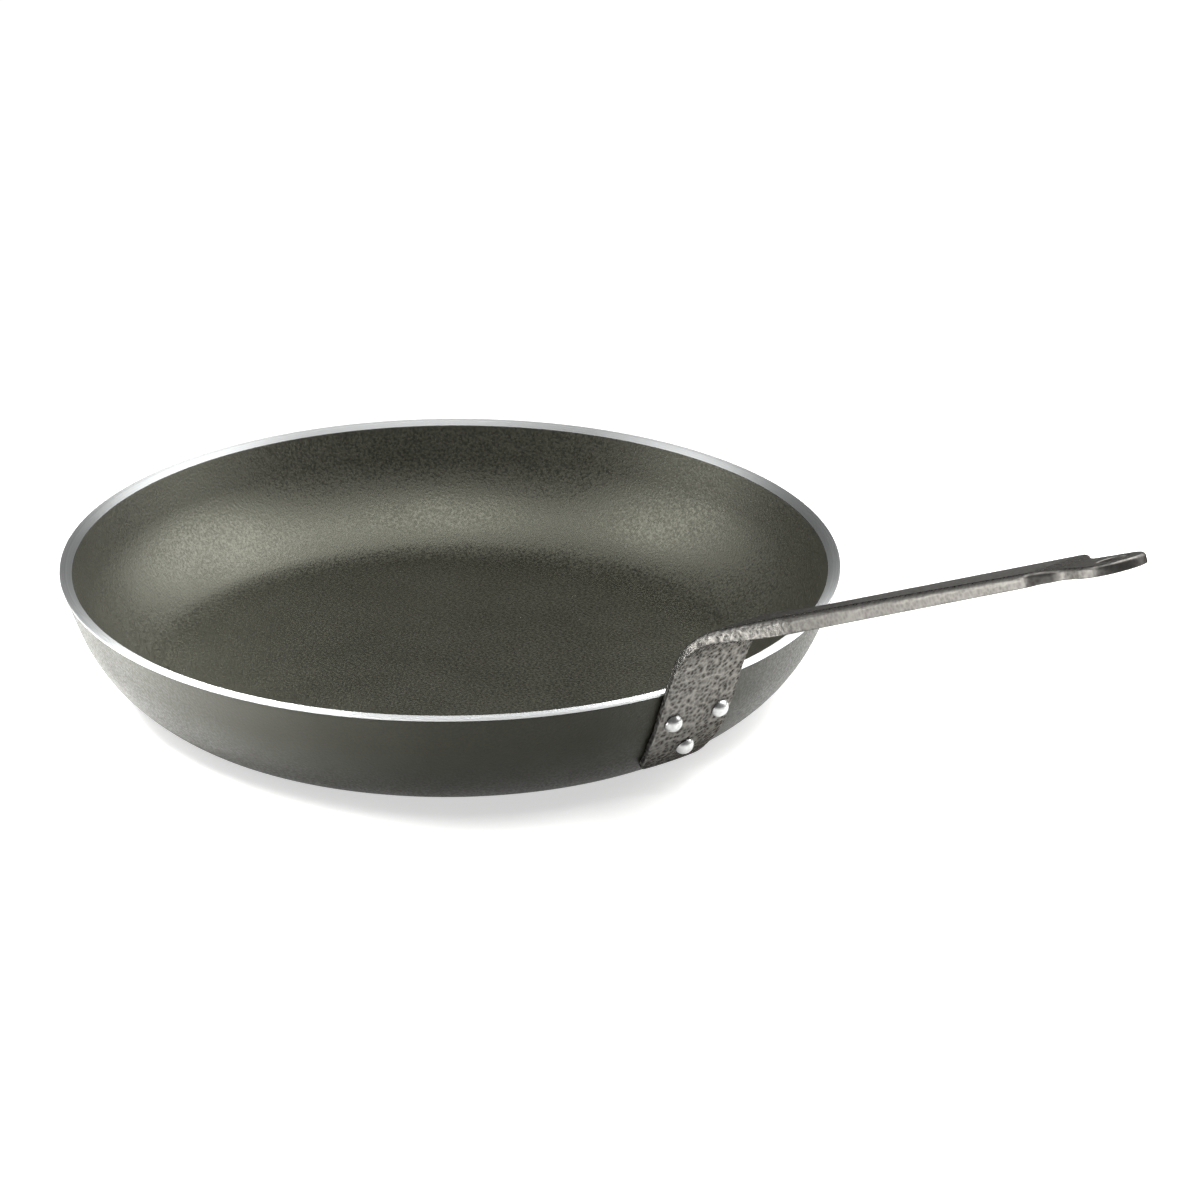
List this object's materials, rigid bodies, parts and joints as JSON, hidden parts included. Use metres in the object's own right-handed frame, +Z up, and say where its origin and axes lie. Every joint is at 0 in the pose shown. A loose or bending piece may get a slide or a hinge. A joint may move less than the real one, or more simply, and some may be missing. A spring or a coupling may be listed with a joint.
{
  "type": "frying pan",
  "caption": "Shallow round aluminium frying pan with sloping walls, a dark non-stick lining, a bare turned rim and a long riveted sheet-steel handle that ends in a hanging eye.",
  "frame": {"origin": "middle of the base's underside, on the surface that the pan stands on", "axes": "+Z up along the bowl's axis, +X out along the handle, Y across the handle"},
  "size_m": [0.5673, 0.32, 0.1845],
  "materials": {
    "bare_aluminium": "turned, satin",
    "nonstick": "sprayed non-stick coating with a fine speckle, satin",
    "grey_coat": "sprayed grey coat, satin",
    "hammered_paint": "grey hammered enamel on steel",
    "rivet_aluminium": "bright upset heads"
  },
  "bodies": {
    "root": {"pan_body": "bare_aluminium", "nonstick_lining": "nonstick", "outer_coat": "grey_coat", "handle": "hammered_paint", "rivet_upper_left": "rivet_aluminium", "rivet_upper_right": "rivet_aluminium", "rivet_lower": "rivet_aluminium"}
  },
  "joints": []
}
